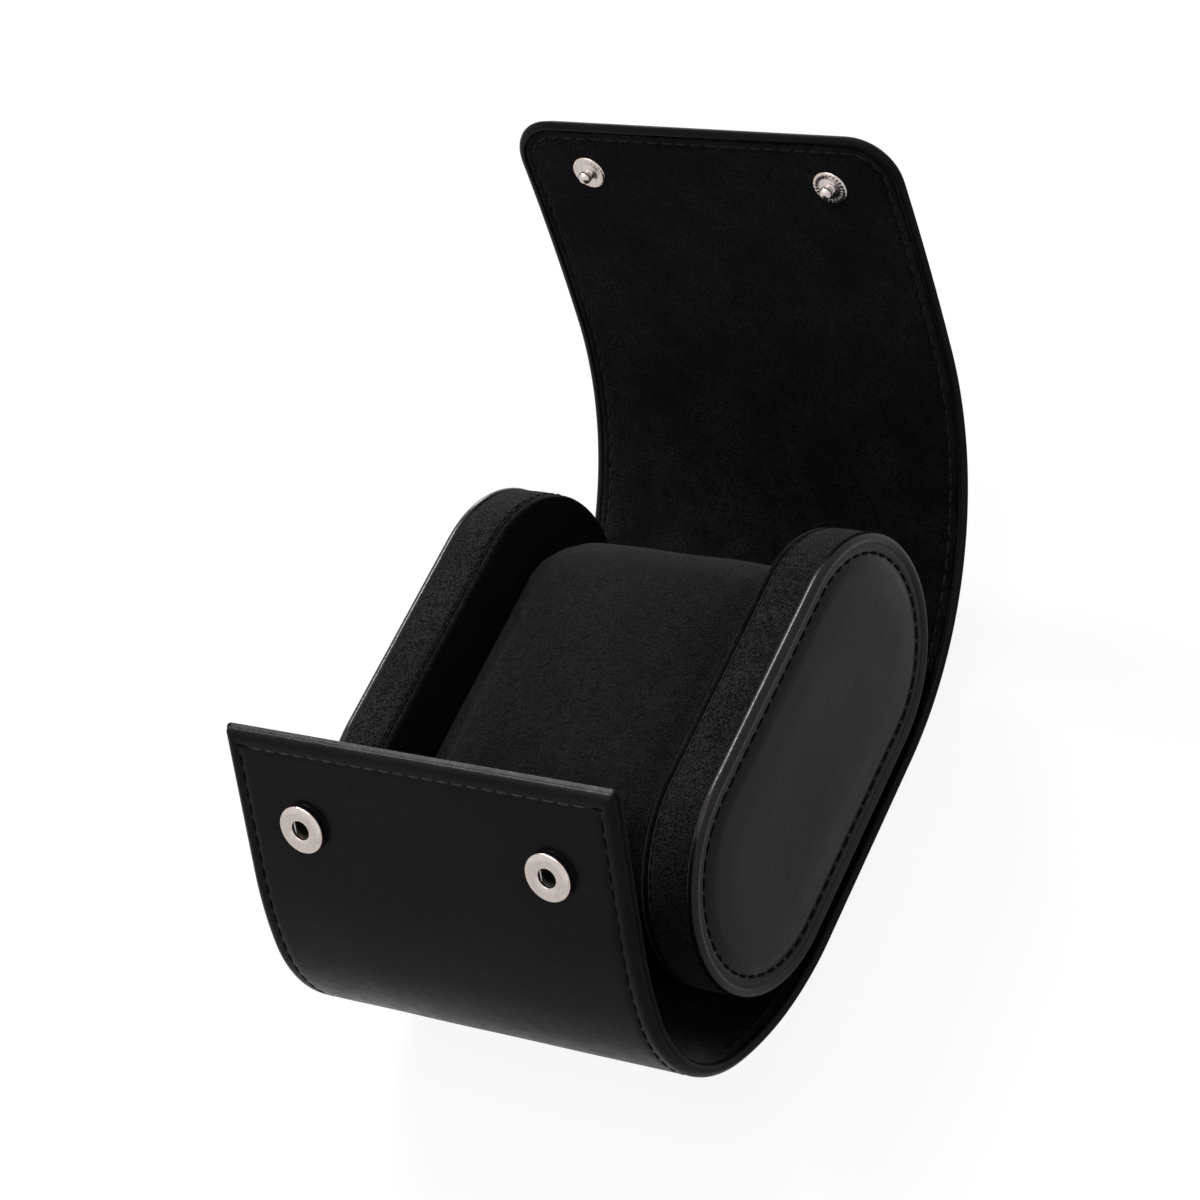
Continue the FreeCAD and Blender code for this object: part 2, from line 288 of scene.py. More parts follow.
suedeLook = {
    "dark": (0.0008, 0.0007, 0.0009),
    "light": (0.0172, 0.0159, 0.0172),
    "nap": 2600.0,         # scales per metre, depths in metres
    "napShare": 0.72,
    "napDepth": 0.00024,
    "napLow": 0.42,        # noise values that take the dark and the light colour
    "napHigh": 0.58,
    "mottle": 520.0,
    "mottleDepth": 0.00036,
    "patch": 75.0,         # brushed patches
    "patchLow": 0.3,
    "patchRange": (0.36, 0.62),
    "roughLow": 0.86,
    "roughHigh": 0.98,
    "sheen": 0.06,
    "sheenRough": 0.55,
    "shine": 0.02,
}


def makeSuede(name, look):
    material, tree, shader, place = newMaterial(name)
    nap = addNoise(tree, place, look["nap"], detail=2.0, roughness=0.6)
    mottle = addNoise(tree, place, look["mottle"], detail=5.0, roughness=0.65)
    rest = tree.nodes.new("ShaderNodeMath")
    rest.operation = "MULTIPLY"
    rest.inputs[1].default_value = 1 - look["napShare"]
    tree.links.new(mottle, rest.inputs[0])
    blend = tree.nodes.new("ShaderNodeMath")
    blend.operation = "MULTIPLY_ADD"
    blend.inputs[1].default_value = look["napShare"]
    tree.links.new(nap, blend.inputs[0])
    tree.links.new(rest.outputs[0], blend.inputs[2])
    tone = addRamp(tree, blend.outputs[0], look["napLow"], look["napHigh"], look["dark"], look["light"])
    patch = addNoise(tree, place, look["patch"], detail=3.0, roughness=0.6)
    shade = addRamp(tree, patch, *look["patchRange"], (look["patchLow"],) * 3, (1.0, 1.0, 1.0))
    brush = tree.nodes.new("ShaderNodeMix")
    brush.data_type = "RGBA"
    brush.blend_type = "MULTIPLY"
    brush.inputs["Factor"].default_value = 1.0
    tree.links.new(tone, brush.inputs["A"])
    tree.links.new(shade, brush.inputs["B"])
    tree.links.new(brush.outputs["Result"], shader.inputs["Base Color"])
    tree.links.new(addRange(tree, mottle, look["roughLow"], look["roughHigh"]), shader.inputs["Roughness"])
    brushed = addBump(tree, mottle, look["mottleDepth"], strength=0.4)
    fuzz = addBump(tree, nap, look["napDepth"], strength=0.9, before=brushed)
    tree.links.new(fuzz, shader.inputs["Normal"])
    shader.inputs["Specular IOR Level"].default_value = look["shine"]
    shader.inputs["Sheen Weight"].default_value = look["sheen"]
    shader.inputs["Sheen Roughness"].default_value = look["sheenRough"]
    return material


metalLook = {
    "wear": 900.0,         # scales per metre
    "wearRange": (0.35, 0.65),
    "worn": 0.9,
    "gloss": 2600.0,
    "glossSpread": 0.12,
    "scratch": 1800.0,
    "scratchDepth": 0.00003,
}


def makeMetal(name, color, rough, look=metalLook):
    material, tree, shader, place = newMaterial(name)
    wear = addNoise(tree, place, look["wear"], detail=3.0)
    low = tuple(look["worn"] * c for c in color)
    tree.links.new(addRamp(tree, wear, *look["wearRange"], low, color), shader.inputs["Base Color"])
    gloss = addNoise(tree, place, look["gloss"], detail=3.0)
    tree.links.new(addRange(tree, gloss, rough, rough + look["glossSpread"]), shader.inputs["Roughness"])
    scratch = addNoise(tree, place, look["scratch"], detail=4.0)
    tree.links.new(addBump(tree, scratch, look["scratchDepth"], strength=0.4), shader.inputs["Normal"])
    shader.inputs["Metallic"].default_value = 1.0
    return material


threadLook = {"lay": 2500.0, "layDepth": 0.0001, "rough": 0.62}
boardLook = {
    "dark": (0.20, 0.15, 0.10),
    "light": (0.36, 0.28, 0.19),
    "fibre": 900.0,
    "fibreDepth": 0.0002,
    "rough": 0.9,
}


def makeThread(name, dark, light, shine, look=threadLook):
    material, tree, shader, place = newMaterial(name)
    lay = addNoise(tree, place, look["lay"], detail=3.0)
    tree.links.new(addRamp(tree, lay, *noiseRange, dark, light), shader.inputs["Base Color"])
    tree.links.new(addBump(tree, lay, look["layDepth"], strength=0.6), shader.inputs["Normal"])
    shader.inputs["Roughness"].default_value = look["rough"]
    shader.inputs["Specular IOR Level"].default_value = shine
    return material


def makeBoard(name, look):
    material, tree, shader, place = newMaterial(name)
    fibre = addNoise(tree, place, look["fibre"], detail=5.0, roughness=0.65)
    color = addRamp(tree, fibre, *noiseRange, look["dark"], look["light"])
    tree.links.new(color, shader.inputs["Base Color"])
    tree.links.new(addBump(tree, fibre, look["fibreDepth"], strength=0.6), shader.inputs["Normal"])
    shader.inputs["Roughness"].default_value = look["rough"]
    return material


smoothLeather = makeLeather("smooth_leather", leatherLook)
faceLeather = makeLeather("cheek_leather", {**leatherLook, "fold": 60.0, "shine": 0.14})
liningSuede = makeSuede("lining_suede", suedeLook)
pillowLight = (0.0155, 0.0144, 0.0157)
pillowSuede = makeSuede("pillow_suede", {**suedeLook, "light": pillowLight, "sheen": 0.09, "patchLow": 0.75})
# Band suede: a lighter copy of the lining suede, painted light standing in for the nap's sheen on the rim
# band
bandPaintedLitTone = (0.03, 0.0282, 0.03)
bandSuedePaintedLit = makeSuede("band_suede_painted_lit", {**suedeLook, "light": bandPaintedLitTone, "napShare": 0.8, "patchLow": 0.75})
pipingGloss = {"roughLow": 0.2, "roughHigh": 0.3, "shine": 0.22}
pipingLeather = makeLeather("piping_leather", {**leatherLook, **pipingGloss})
nickel = makeMetal("nickel_plate", (0.65, 0.58, 0.545), 0.16)
# Socket well: nickel darkened, painted shade for the socket's recess and the parts in it
shadedWellNickel = makeMetal("socket_well_painted_shade", (0.075, 0.06, 0.05), 0.45)
springSteel = makeMetal("spring_steel", (0.55, 0.54, 0.52), 0.25)
# Grey thread: the black thread made lighter, a painted highlight for the flap's top row, which faces the
# light
paintedHighlightThread = makeThread("thread_painted_highlight", (0.016, 0.0155, 0.016), (0.06, 0.058, 0.06), 0.2)
blackThread = makeThread("black_thread", (0.002, 0.002, 0.002), (0.006, 0.006, 0.0065), 0.03)
liningThread = makeThread("lining_thread", (0.007, 0.0065, 0.007), (0.034, 0.032, 0.034), 0.08)
bandThread = makeThread("band_thread", (0.003, 0.0028, 0.003), (0.014, 0.013, 0.014), 0.03)
boardFibre = makeBoard("board_fibre", boardLook)
print("materials made")


# Stitches: one short thread loop at each point of a seam line
stitchLook = {
    "pitch": 3.3,
    "length": 1.36,        # half a loop's length
    "thread": 0.3,         # thread's radius
    "sink": 0.05,
    "segments": 8,
    "rings": 6,
}


def makeStitchTree(look):
    tree = bpy.data.node_groups.new("stitch_row", "GeometryNodeTree")
    face = tree.interface
    face.new_socket("Seam", in_out="INPUT", socket_type="NodeSocketGeometry")
    for label, kind in (("Stitches", "NodeSocketInt"), ("Length", "NodeSocketFloat"),
                        ("Thread", "NodeSocketFloat"), ("Finish", "NodeSocketMaterial")):
        face.new_socket(label, in_out="INPUT", socket_type=kind)
    face.new_socket("Row", in_out="OUTPUT", socket_type="NodeSocketGeometry")
    nodes, links = tree.nodes, tree.links
    given, result = nodes.new("NodeGroupInput"), nodes.new("NodeGroupOutput")
    points = nodes.new("GeometryNodeCurveToPoints")
    points.mode = "COUNT"
    links.new(given.outputs["Seam"], points.inputs["Curve"])
    links.new(given.outputs["Stitches"], points.inputs["Count"])
    loop = nodes.new("GeometryNodeMeshUVSphere")
    loop.inputs["Segments"].default_value = look["segments"]
    loop.inputs["Rings"].default_value = look["rings"]
    loop.inputs["Radius"].default_value = 1.0
    size = nodes.new("ShaderNodeCombineXYZ")
    for axis in ("X", "Y"):
        links.new(given.outputs["Thread"], size.inputs[axis])
    links.new(given.outputs["Length"], size.inputs["Z"])
    place = nodes.new("GeometryNodeInstanceOnPoints")
    links.new(points.outputs["Points"], place.inputs["Points"])
    links.new(points.outputs["Rotation"], place.inputs["Rotation"])
    links.new(loop.outputs["Mesh"], place.inputs["Instance"])
    links.new(size.outputs["Vector"], place.inputs["Scale"])
    real = nodes.new("GeometryNodeRealizeInstances")
    links.new(place.outputs["Instances"], real.inputs["Geometry"])
    smooth = nodes.new("GeometryNodeSetShadeSmooth")
    links.new(real.outputs["Geometry"], smooth.inputs["Geometry"])
    paint = nodes.new("GeometryNodeSetMaterial")
    links.new(smooth.outputs["Geometry"], paint.inputs["Geometry"])
    links.new(given.outputs["Finish"], paint.inputs["Material"])
    links.new(paint.outputs["Geometry"], result.inputs["Row"])
    return tree


stitchTree = makeStitchTree(stitchLook)


def lineLength(points):
    return sum((b - a).length for a, b in zip(points, points[1:]))


def sewSeam(name, lines, thread, look=stitchLook, closed=False):
    curve = bpy.data.curves.new(name, "CURVE")
    curve.dimensions = "3D"
    for points in lines:
        spline = curve.splines.new("POLY")
        spline.points.add(len(points) - 1)
        for target, point in zip(spline.points, points):
            target.co = (*point, 1.0)
        spline.use_cyclic_u = closed
    seam = bpy.data.objects.new(name, curve)
    bpy.context.scene.collection.objects.link(seam)
    count = max(2, round(lineLength(lines[0]) / (look["pitch"] * mm)) + (0 if closed else 1))
    sewing = seam.modifiers.new("stitches", "NODES")
    sewing.node_group = stitchTree
    values = {"Stitches": count, "Finish": thread}
    values["Length"] = look["length"] * mm
    values["Thread"] = look["thread"] * mm
    for item in stitchTree.interface.items_tree:
        if item.in_out == "INPUT" and item.name in values:
            sewing[item.identifier] = values[item.name]
    graph = bpy.context.evaluated_depsgraph_get()
    mesh = bpy.data.meshes.new_from_object(seam.evaluated_get(graph))
    seam.modifiers.clear()
    bpy.data.objects.remove(seam)
    mesh.name = name
    return addObject(name, mesh, thread)


def joinPieces(name, pieces):
    bm = bmesh.new()
    slots = []
    for piece in pieces:
        first = len(bm.faces)
        bm.from_mesh(piece.data)
        bm.faces.ensure_lookup_table()
        slots.append(piece.data.materials[0])
        for face in bm.faces[first:]:
            face.material_index = len(slots) - 1
    mesh = bpy.data.meshes.new(name)
    bm.to_mesh(mesh)
    bm.free()
    for piece in pieces:
        bpy.data.objects.remove(piece)
    joined = bpy.data.objects.new(name, mesh)
    bpy.context.scene.collection.objects.link(joined)
    for slot in slots:
        mesh.materials.append(slot)
    return joined


# Wrap: leather with a turned bead, and the suede lining let into it
wrapLook = {
    "bead": 1.35,          # width of the turned edge's round on the lining's side
    "roll": 2.1,           # and on the outside
    "split": 0.95,         # depth of the fine groove along the edge
    "splitCut": 0.9,
    "setBack": 0.5,        # outer leather's edge behind the rim's
    "setBackReach": 2.9,
    "rim": 0.12,           # how far the bead stands over the lining
    "rimFades": (1.55, 2.15),
    "pocket": 0.95,
    "stitchInset": 3.6,
    "stitchDip": 0.2,
    "stitchDipWidth": 0.6,
    "ripple": 0.09,
    "rippleSize": 17.0,
    "rippleSeed": 3.1,
    "rippleFades": (1.0, 6.0),
    "rowStep": 0.85,
    "endRow": 0.06,        # short rows keep the shading even from piece to piece
    "holeStep": 0.35,      # finer rows round a socket
    "holeSteps": 7,
    "seamStep": 0.8,
    "seamTurn": 0.4,       # tightest corner of a seam
    "sideSteps": 40,
    "turnSteps": 16,
    "topSteps": 60,
    "topSkip": 3,          # steps between the corner and the top row's first stitch
    "bendReach": 7.5,
    "edgeSteps": [0, 0.03, 0.1, 0.2, 0.4, 0.7, 1.0, 1.35, 1.6, 1.9, 2.1, 2.5, 2.9, 3.25, 3.6, 3.95, 4.3, 4.8,
                  5.6, 6.8, 8.4, 10.5],
    "columnStep": 2.4,
}
liningLook = {
    "inset": 1.8,
    "under": 0.9,
    "edge": 0.5,           # depth where its faces meet
    "roll": 0.6,
    "corner": 0.6,         # tightest corner
    "stitchDipWidth": 0.7,
    "ripple": 0.1,
    "rippleSize": 11.0,
    "rippleSeed": 9.4,
    "rippleFades": (0.5, 5.0),
}


def columnsAcross(halfWidth, steps, step):
    count = max(1, round((halfWidth - steps[-1]) / step))
    inner = [steps[-1] + (halfWidth - steps[-1]) * (k + 1) / count for k in range(count)]
    half = [-halfWidth + a for a in list(steps) + inner]
    return half + [-x for x in reversed(half[:-1])]


def rowsAlong(start, end, freeEnd, steps, step):
    last = end - steps[-1] if freeEnd else end
    count = max(2, round((last - start) / step))
    rows = [start + (last - start) * k / count for k in range(count + 1)]
    rows.insert(1, start + wrapLook["endRow"])
    if freeEnd:
        rows += [end - b for b in reversed(steps[:-1])]
    else:
        rows.insert(-1, end - wrapLook["endRow"])
    return rows


def roundCorner(a, b, radius):
    ring = min(a, b)
    if a >= radius or b >= radius or radius - ring < 1e-9:
        return a, b
    share = 0.5 * (radius - b) / (radius - ring) if a <= b else 1 - 0.5 * (radius - a) / (radius - ring)
    turn = share * math.pi / 2
    return radius - (radius - ring) * math.cos(turn), radius - (radius - ring) * math.sin(turn)


def pushIn(a, b, corner, push):
    if a < corner and b < corner:
        inward = math.hypot(corner - a, corner - b)
        return a + push * (corner - a) / inward, b + push * (corner - b) / inward
    return a + (push if a < b + 1e-6 else 0.0), b + (push if b < a + 1e-6 else 0.0)


def makeShell(name, side, halfWidth, start, end, freeEnd, corner, topDepth, underDepth, material,
              grooved=False, holes=()):
    xs = columnsAcross(halfWidth, wrapLook["edgeSteps"], wrapLook["columnStep"])
    alongs = rowsAlong(start, end, freeEnd, wrapLook["edgeSteps"], wrapLook["rowStep"])
    reach = wrapLook["holeSteps"]
    spread = [wrapLook["holeStep"] * k for k in range(-reach, reach + 1)]
    for holeX, holeAlong in holes:
        xs = sorted(xs + [holeX + d for d in spread])
        alongs = sorted(set(alongs + [holeAlong + d for d in spread]))
    top, under = [], []
    for along in alongs:
        topRow, underRow = [], []
        for x in xs:
            a = halfWidth - abs(x)
            b = end - along if freeEnd else 1e6
            inset = min(a, b)
            a2, b2 = roundCorner(a, b, corner) if freeEnd else (a, b)
            pushes = [0.0, 0.0]
            if grooved:
                back = wrapLook["setBack"] * (1 - smoothStep(inset, 0.0, wrapLook["setBackReach"]))
                pushes = [0.0, back] if inset > 1e-6 else [wrapLook["splitCut"]] * 2
            for row, depth, push in ((topRow, topDepth, pushes[0]), (underRow, underDepth, pushes[1])):
                a3, b3 = pushIn(a2, b2, corner, push)
                x2 = math.copysign(halfWidth - a3, x) if x else 0.0
                along2 = end - b3 if freeEnd else along
                row.append(wrapPoint(side, x2, along2, depth(x2, along2, inset)))
        top.append(topRow)
        under.append(underRow)
    bm = bmesh.new()
    upper = addGrid(bm, top)
    lower = addGrid(bm, under)
    for row in ([0] if freeEnd else [0, -1]):
        cap = bm.faces.new(upper[row] + lower[row][::-1])
        for edge in cap.edges:
            edge.smooth = False
    return addObject(name, finishMesh(name, bm), material)


socketPlace = {
    "fromEdge": 18.4,
    "x": 27.7,
    "dip": 0.14,           # leather drawn in round the ring
    "ring": 4.2,
    "reach": 2.2,
    "pit": 1.55,           # hole for the stud
    "pitWall": (1.8, 2.2),
}


def beadRise(inset, width=wrapLook["bead"]):
    t = min(1.0, inset / width)
    return math.sqrt(max(0.0, 1 - (1 - t) ** 2))


def leatherOuter(side):
    socketAlong = wrapEnd[-1] - socketPlace["fromEdge"]

    def depth(x, along, inset):
        split = wrapLook["split"]
        outer = split + (wrapPath["thick"] - split) * beadRise(inset, wrapLook["roll"])
        outer -= wrapLook["stitchDip"] * bell(inset, wrapLook["stitchInset"], wrapLook["stitchDipWidth"])
        wave = ripple(x, along, wrapLook["rippleSize"], wrapLook["rippleSeed"] + side)
        outer += wrapLook["ripple"] * wave * smoothStep(inset, *wrapLook["rippleFades"])
        if side < 0:
            away = math.hypot(abs(x) - socketPlace["x"], along - socketAlong)
            outer -= socketPlace["dip"] * bell(away, socketPlace["ring"], socketPlace["reach"])
            outer -= socketPlace["pit"] * (1 - smoothStep(away, *socketPlace["pitWall"]))
        return outer
    return depth


def leatherRim(x, along, inset):
    split = wrapLook["split"]
    rim = split - (split + wrapLook["rim"]) * beadRise(inset)
    return rim + (wrapLook["pocket"] + wrapLook["rim"]) * smoothStep(inset, *wrapLook["rimFades"])


def liningTop(side):
    look = liningLook

    def depth(x, along, inset):
        edge = look["edge"] * (1 - beadRise(inset, look["roll"]))
        fromRim = inset + look["inset"]
        sewn = wrapLook["stitchDip"] * bell(fromRim, wrapLook["stitchInset"], look["stitchDipWidth"])
        wave = ripple(x, along, look["rippleSize"], look["rippleSeed"] + side)
        return edge + sewn + look["ripple"] * wave * smoothStep(inset, *look["rippleFades"])
    return depth


def liningBase(x, along, inset):
    return liningLook["edge"] + (liningLook["under"] - liningLook["edge"]) * beadRise(inset)


def seamLines(side, start, end, freeEnd, corner, inset, depth):
    look = wrapLook
    x = wrapPath["halfWidth"] - inset
    half = stitchLook["pitch"] / 2
    if not freeEnd:
        count = max(2, round((end - start) / look["seamStep"]))
        places = [start + half + (end - start - 2 * half) * k / count for k in range(count + 1)]
        return [[wrapPoint(side, sign * x, along, depth) for along in places] for sign in (-1, 1)]
    radius = max(look["seamTurn"], corner - inset)
    top = end - inset
    rise = (top - radius - start - half) / look["sideSteps"]
    outline = [(-x, start + half + rise * k) for k in range(look["sideSteps"] + 1)]
    turns = [math.pi / 2 * k / look["turnSteps"] for k in range(1, look["turnSteps"] + 1)]
    outline += [(-x + radius - radius * math.cos(t), top - radius + radius * math.sin(t)) for t in turns]
    step = 2 * (x - radius) / look["topSteps"]
    places = range(look["topSkip"], look["topSteps"] - look["topSkip"] + 1)
    across = [(-x + radius + step * k, top) for k in places]
    mirrored = [(-px, along) for px, along in outline]
    return [[wrapPoint(side, px, along, depth) for px, along in row] for row in (outline, mirrored, across)]


def bendPiece(piece):
    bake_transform(piece)


def makeWrap(label, side, chain, corner):
    starts = [start for body, start in chain] + [wrapEnd[side]]
    middles = [0.0] + [(starts[k] + starts[k + 1]) / 2 for k in range(1, len(chain))]
    for k in range(1, len(chain)):
        before, body = chain[k - 1][0], chain[k][0]
        freeEnd = k == len(chain) - 1
        start = middles[k - 1]
        end = wrapEnd[side] if freeEnd else middles[k]
        name = "%s_%d" % (label, k)
        holes = []
        if freeEnd and side < 0:
            holes = [(x, end - socketPlace["fromEdge"]) for x in (-socketPlace["x"], socketPlace["x"])]
        leather = makeShell(name + "_leather", side, wrapPath["halfWidth"], start, end, freeEnd, corner,
                            leatherRim, leatherOuter(side), smoothLeather, grooved=True, holes=holes)
        inset = liningLook["inset"]
        liningEnd = end - inset if freeEnd else end
        liningCorner = max(liningLook["corner"], corner - inset)
        lining = makeShell(name + "_suede", side, wrapPath["halfWidth"] - inset, start, liningEnd, freeEnd,
                           liningCorner, liningTop(side), liningBase, liningSuede)
        inside = wrapLook["stitchDip"] + stitchLook["sink"]
        outside = wrapPath["thick"] - inside
        insideRow = seamLines(side, start, end, freeEnd, corner, wrapLook["stitchInset"], inside)
        outsideRow = seamLines(side, start, end, freeEnd, corner, wrapLook["stitchInset"], outside)
        rows = [sewSeam(name + "_in", insideRow[:2], liningThread)]
        rows += [sewSeam(name + "_out", outsideRow[:2], blackThread)]
        if freeEnd:
            rows += [sewSeam(name + "_in_top", insideRow[2:], liningThread)]
            # the top row outside takes the grey thread, a painted highlight
            rows += [sewSeam(name + "_out_top", outsideRow[2:], paintedHighlightThread)]
        stitches = joinPieces(name + "_stitches", rows)
        for piece, slot in ((leather, "leather"), (lining, "suede"), (stitches, "leather")):
            bendPiece(piece)
        nodes = list(frame["record"]["behaviour"]["bodies"][body])
        nodes += [n for n in frame["nodes"] if n.startswith("back_")] if k == 1 and side > 0 else []
        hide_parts(*[n for n in nodes if n.endswith("_leather")])
        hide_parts(*[n for n in nodes if n.endswith(("_lining", "_board"))])
    print(label, "made in", len(chain) - 1, "pieces")


makeWrap("lid_wrap", 1, lidChain, wrapPath["lidCorner"])
makeWrap("flap_wrap", -1, flapChain, wrapPath["flapCorner"])


# Cheeks: round-ended loops in planes square to X
cheekLook = {
    "half": 22.5,
    "radius": 25.5,
    "centre": 29.1,
    "outside": 42.7,
    "piping": 1.2,          # radius of the bead
    "pipingSteps": 20,
    "bandProfile": [(41.7, 23.9), (41.55, 24.6), (41.2, 24.98), (40.6, 25.16), (38.5, 25.26), (36.5, 25.3),
                    (34.5, 25.27), (33.2, 25.2), (32.5, 25.06), (32.1, 24.8), (31.95, 24.3)],
    "panelProfile": [(32.05, 0.0), (32.05, 24.2), (31.9, 24.75), (31.6, 25.02), (31.2, 25.06), (30.85, 24.9),
                     (30.62, 24.6), (30.52, 24.1), (30.47, 23.0), (30.45, 20.0), (30.42, 14.0), (30.40, 7.0),
                     (30.40, 0.0)],
    "seam": 32.75,
    "seamRadius": 25.12,
    "bandStitch": {"pitch": 2.4, "length": 0.95, "thread": 0.2},
    "arcSteps": 48,
    "flatSteps": 30,
}
faceLook = {
    "radii": [23.5, 23.2, 22.7, 22.3, 22.0, 21.7, 21.4, 21.1, 20.8, 20.4, 19.9, 19.3, 18.6, 17.7, 16.6, 15.2,
              13.6, 11.6, 9.2, 6.6, 3.6, 0.0],
    "edge": 23.1,          # radius from which the insets below are counted
    "thick": 2.4,          # border's thickness with its backing
    "border": -0.62,       # heights, from the piping's top
    "groove": 0.26,
    "grooveInset": 1.7,
    "grooveWidth": 0.45,
    "shoulder": 0.6,
    "shoulderInsets": (1.8, 4.4),
    "crown": 0.42,
    "crownInsets": (2.6, 11.0),
    "ripple": 0.16,
    "rippleSize": 16.0,
    "rippleSeed": 5.7,
    "rippleInsets": (3.0, 8.0),
    "stitch": 21.4,
    "stitchRise": 0.08,
}


def loopRound(radius, x, half, centre, arcSteps, flatSteps):
    points = []
    for side in (1, -1):
        for k in range(arcSteps):
            turn = -math.pi / 2 + math.pi * k / arcSteps
            y = side * (half + radius * math.cos(turn))
            points.append((x, y, centre + side * radius * math.sin(turn)))
        for k in range(flatSteps):
            points.append((x, side * half * (1 - 2 * k / flatSteps), centre + side * radius))
    return [Vector(p) * mm for p in points]


def cheekLoop(radius, x):
    look = cheekLook
    return loopRound(radius, x, look["half"], look["centre"], look["arcSteps"], look["flatSteps"])


def faceRise(radius, look=faceLook):
    inset = look["edge"] - radius
    rise = look["border"] - look["groove"] * bell(inset, look["grooveInset"], look["grooveWidth"])
    rise += look["shoulder"] * smoothStep(inset, *look["shoulderInsets"])
    return rise + look["crown"] * smoothStep(inset, *look["crownInsets"])


def faceRows(side, outside, look=faceLook):
    back = side * (outside - look["thick"])
    rows = [cheekLoop(0.0, back), cheekLoop(look["radii"][0], back)]
    for radius in look["radii"]:
        loop = cheekLoop(radius, side * (outside + faceRise(radius)))
        soft = look["ripple"] * smoothStep(look["edge"] - radius, *look["rippleInsets"])
        for point in loop:
            wave = ripple(point.y / mm, point.z / mm, look["rippleSize"], look["rippleSeed"] * side)
            point.x += side * soft * wave * mm
        rows.append(loop)
    return rows


def makeCheek(name, side):
    look = cheekLook
    bm = bmesh.new()
    addGrid(bm, faceRows(side, look["outside"]), closedColumns=True)
    face = addObject(name + "_padded_face", finishMesh(name, bm), faceLeather)
    bm = bmesh.new()
    ring = []
    ringX = look["outside"] - look["piping"]
    ringRadius = look["radius"] - look["piping"]
    for k in range(look["pipingSteps"]):
        turn = 2 * math.pi * k / look["pipingSteps"]
        radius = ringRadius + look["piping"] * math.sin(turn)
        ring.append(cheekLoop(radius, side * (ringX + look["piping"] * math.cos(turn))))
    addGrid(bm, ring, closedRows=True, closedColumns=True)
    piping = addObject(name + "_piping_bead", finishMesh(name, bm), pipingLeather)
    made = [(face, "leather", ["_face", "_pad"]), (piping, "leather", ["_piping"])]
    # the band takes the lighter suede with its painted sheen
    covers = [("_suede_band", "bandProfile", bandSuedePaintedLit, "_band"),
              ("_suede_panel", "panelProfile", liningSuede, "_inner_panel")]
    for part, profile, cloth, node in covers:
        bm = bmesh.new()
        addGrid(bm, [cheekLoop(radius, side * x) for x, radius in look[profile]], part == "_suede_band", True)
        made.append((addObject(name + part, finishMesh(name, bm), cloth), "suede", [node]))
    seamRise = faceRise(faceLook["stitch"]) + faceLook["stitchRise"]
    faceSeam = cheekLoop(faceLook["stitch"], side * (look["outside"] + seamRise))
    bandSeam = cheekLoop(look["seamRadius"], side * look["seam"])
    rows = [sewSeam(name + "_face_seam", [faceSeam], blackThread, closed=True),
            sewSeam(name + "_band_seam", [bandSeam], bandThread, look["bandStitch"], closed=True)]
    stitches = joinPieces(name + "_stitches", rows)
    made.append((stitches, "leather", []))
    for piece, slot, nodes in made:
        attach(piece, "base")
        if nodes:
            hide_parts(*[name + n for n in nodes])
    print(name, "made")


makeCheek("left_cheek", -1)
makeCheek("right_cheek", 1)


# Pillow
pillowLook = {
    "length": 81.0,
    "height": 40.0,
    "centre": 28.0,
    "halfWidth": 30.3,
    "start": 0.955,        # share of the full size before it swells
    "soft": 5.0,           # round at the ends
    "rows": 12,            # to each side of the middle
    "arcSteps": 24,
    "flatSteps": 16,
    "voxel": 4.5,
    "pressure": 4.0,
    "frames": 20,
    "quality": 6,
    "cap": 3.0,
    "levels": 2,
    "seam": 23.5,
    "seamDip": 0.3,
    "seamWidth": 0.8,
    "ripple": 0.35,
    "rippleSize": 14.0,
    "rippleSeed": 2.2,
}


def pillowBlock(look):
    radius = look["height"] / 2 * look["start"]
    half = look["length"] / 2 - look["height"] / 2
    reach = look["halfWidth"] * look["start"]
    soft = look["soft"]
    rows = []
    for k in range(-look["rows"], look["rows"] + 1):
        x = reach * k / look["rows"]
        over = max(0.0, abs(x) - (reach - soft)) / soft
        rowRadius = radius - soft * (1 - math.sqrt(max(0.0, 1 - over ** 2)))
        rows.append(loopRound(rowRadius, x, half, look["centre"], look["arcSteps"], look["flatSteps"]))
    bm = bmesh.new()
    grid = addGrid(bm, rows, closedColumns=True)
    for row in (grid[0], grid[-1]):
        bm.faces.new(row)
    return addObject("pillow", finishMesh("pillow", bm), pillowSuede)


def swellPillow(pillow, look):
    remesh = pillow.modifiers.new("remesh", "REMESH")
    remesh.mode = "VOXEL"
    remesh.voxel_size = look["voxel"] * mm
    graph = bpy.context.evaluated_depsgraph_get()
    pillow.data = bpy.data.meshes.new_from_object(pillow.evaluated_get(graph))
    pillow.modifiers.clear()
    before = [v.co.copy() for v in pillow.data.vertices]
    cloth = pillow.modifiers.new("swell", "CLOTH")
    cloth.settings.use_pressure = True
    cloth.settings.uniform_pressure_force = look["pressure"]
    cloth.settings.effector_weights.gravity = 0.0
    cloth.settings.quality = look["quality"]
    scene = bpy.context.scene
    for number in range(1, look["frames"] + 1):
        scene.frame_set(number)
    graph = bpy.context.evaluated_depsgraph_get()
    swollen = bpy.data.meshes.new_from_object(pillow.evaluated_get(graph))
    after = [v.co.copy() for v in swollen.vertices]
    pillow.modifiers.clear()
    scene.frame_set(1)
    cap = look["cap"] * mm
    for vertex, first, last in zip(pillow.data.vertices, before, after):
        move = last - first
        vertex.co = first + move * min(1.0, cap / max(move.length, 1e-9))


def smoothPillow(pillow, levels):
    divide = pillow.modifiers.new("smooth", "SUBSURF")
    divide.levels = divide.render_levels = levels
    graph = bpy.context.evaluated_depsgraph_get()
    pillow.data = bpy.data.meshes.new_from_object(pillow.evaluated_get(graph))
    pillow.modifiers.clear()


